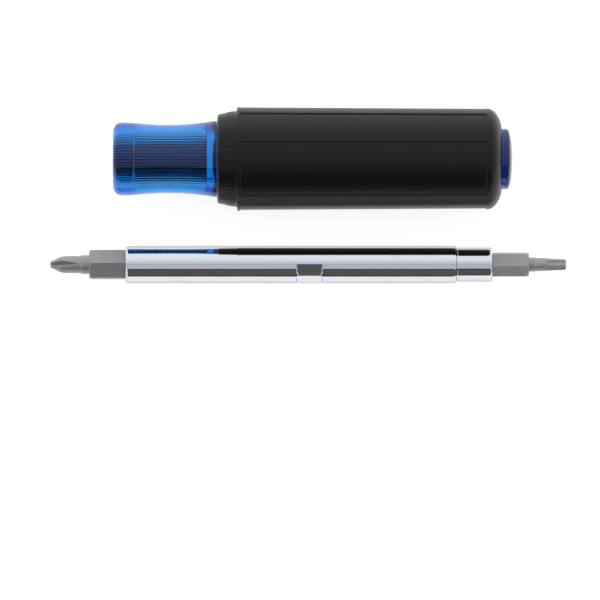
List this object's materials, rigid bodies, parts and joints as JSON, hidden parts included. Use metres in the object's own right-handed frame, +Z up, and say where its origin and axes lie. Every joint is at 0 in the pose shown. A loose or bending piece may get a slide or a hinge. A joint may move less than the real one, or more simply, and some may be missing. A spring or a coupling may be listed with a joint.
{
  "type": "multi-bit screwdriver",
  "caption": "Screwdriver taken apart: rubber-gripped handle with a translucent blue nose, and its reversible chrome shaft with a double-ended bit in each end",
  "frame": {"origin": "middle of the footprint, on the surface that both pieces lie on", "axes": "X runs along the handle and the shaft from the handle's nose to its butt, +Y from the shaft to the handle, +Z up"},
  "size_m": [0.1467, 0.0489, 0.0295],
  "materials": {
    "blue_plastic": "clear blue moulding, polished, finely fluted",
    "black_rubber": "soft satin over-moulding",
    "chrome": "bright plated",
    "tool_steel": "matt grey phosphated tool steel",
    "spring_steel": "plain spring steel"
  },
  "bodies": {
    "handle": {"handle_core": "blue_plastic", "grip_sleeve": "black_rubber", "end_cap": "blue_plastic", "drive_sleeve": "tool_steel", "shaft_clip": "spring_steel"},
    "shaft": {"shaft_tube": "chrome", "small_socket": "chrome"},
    "large_bit": {"large_bit": "tool_steel", "large_ball_spring": "spring_steel"},
    "large_ball": {"large_ball": "spring_steel"},
    "small_bit": {"small_bit": "tool_steel", "small_ball_spring": "spring_steel"},
    "small_ball": {"small_ball": "spring_steel"}
  },
  "joints": [
    {"name": "shaft_lift", "type": "slide", "parent": "handle", "child": "shaft", "axis": [0, 0, 1], "range_m": [0, 0.05]},
    {"name": "large_bit_slide", "type": "slide", "parent": "shaft", "child": "large_bit", "axis": [-1, 0, 0], "range_m": [0, 0.052]},
    {"name": "small_bit_slide", "type": "slide", "parent": "shaft", "child": "small_bit", "axis": [1, 0, 0], "range_m": [0, 0.052]},
    {"name": "large_ball_press", "type": "slide", "parent": "large_bit", "child": "large_ball", "axis": [0, 0.9969, 0.0785], "range_m": [0, 0.00035], "stiffness_N_per_m": 400},
    {"name": "small_ball_press", "type": "slide", "parent": "small_bit", "child": "small_ball", "axis": [0, 0.9532, 0.3024], "range_m": [0, 0.0003], "stiffness_N_per_m": 300}
  ]
}
